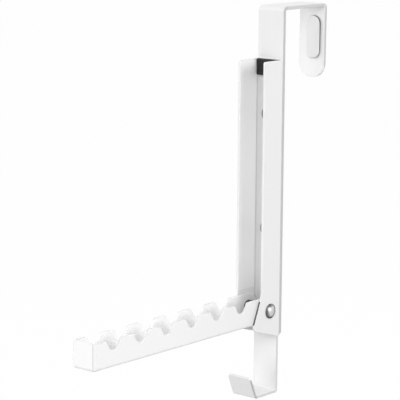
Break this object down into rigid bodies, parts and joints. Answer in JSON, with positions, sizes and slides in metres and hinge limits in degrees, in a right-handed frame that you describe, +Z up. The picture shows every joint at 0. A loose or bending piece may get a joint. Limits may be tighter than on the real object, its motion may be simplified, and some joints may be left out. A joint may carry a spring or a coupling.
{
  "type": "over door hook",
  "caption": "Over door hook: a flat strap over the door carries a channel with a fold-up notched arm for hangers and a lower J hook.",
  "frame": {"origin": "middle of the underside of the strap's top plate, where it sits on the door", "axes": "X across the strap with the pivot rivet's domed head on +X, -Y into the room along the level arm, +Y over the door, Z up"},
  "size_m": [0.0239, 0.2028, 0.2347],
  "materials": {
    "white_steel": "semi-gloss powder coat",
    "white_pad": "matt",
    "black_rubber": "satin",
    "bright_steel": "bright zinc",
    "black_nylon": "satin"
  },
  "bodies": {
    "frame": {"door_strap": "white_steel", "door_pad": "white_pad", "arm_housing": "white_steel", "stop_bumper": "black_rubber", "strap_rivet_upper": "bright_steel", "strap_rivet_lower": "bright_steel", "pivot_rivet": "bright_steel"},
    "arm": {"folding_arm": "white_steel", "pivot_spacer": "black_nylon"}
  },
  "joints": [
    {"name": "arm_fold", "type": "hinge", "parent": "frame", "child": "arm", "pos_m": [0, -0.0311, -0.17975], "axis": [-1, 0, 0], "range_deg": [0, 89]}
  ]
}
